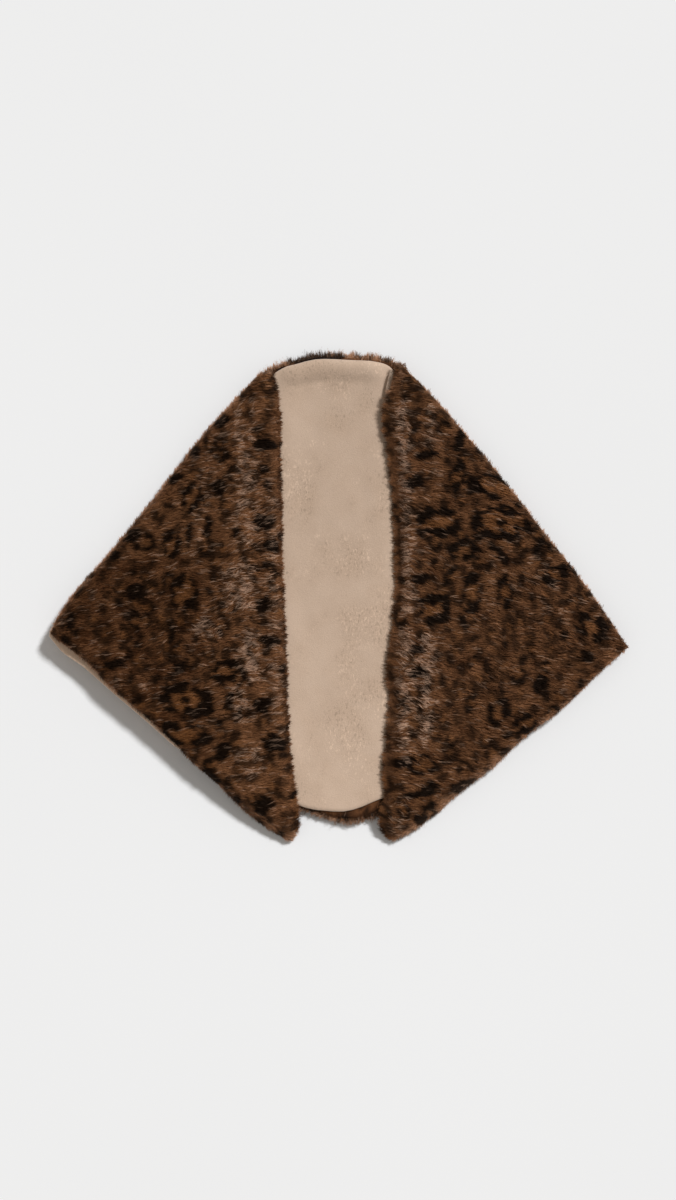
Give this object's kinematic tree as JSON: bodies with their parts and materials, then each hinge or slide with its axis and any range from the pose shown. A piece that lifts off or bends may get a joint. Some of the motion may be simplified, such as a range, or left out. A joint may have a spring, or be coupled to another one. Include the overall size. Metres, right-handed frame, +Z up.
{
  "type": "faux fur hooded scarf",
  "caption": "Lined faux fur hooded scarf cut as a long low triangle, laid flat with both fronts folded in over the back and a strip of plush lining showing between them.",
  "frame": {"origin": "centre of the laid scarf's outline, on the surface that it rests on", "axes": "+Z up off the surface, +Y towards the face edge at the top, +X towards the right front, along the widest extent"},
  "size_m": [0.752, 0.6331, 0.0388],
  "materials": {
    "fur": "dark brown animal print faux fur, short soft pile with a slight sheen",
    "lining": "beige plush with a short matt nap"
  },
  "bodies": {
    "root": {"back_fur": "fur", "back_lining": "lining", "left_front_fur": "fur", "left_front_lining": "lining", "right_front_fur": "fur", "right_front_lining": "lining"}
  },
  "joints": []
}
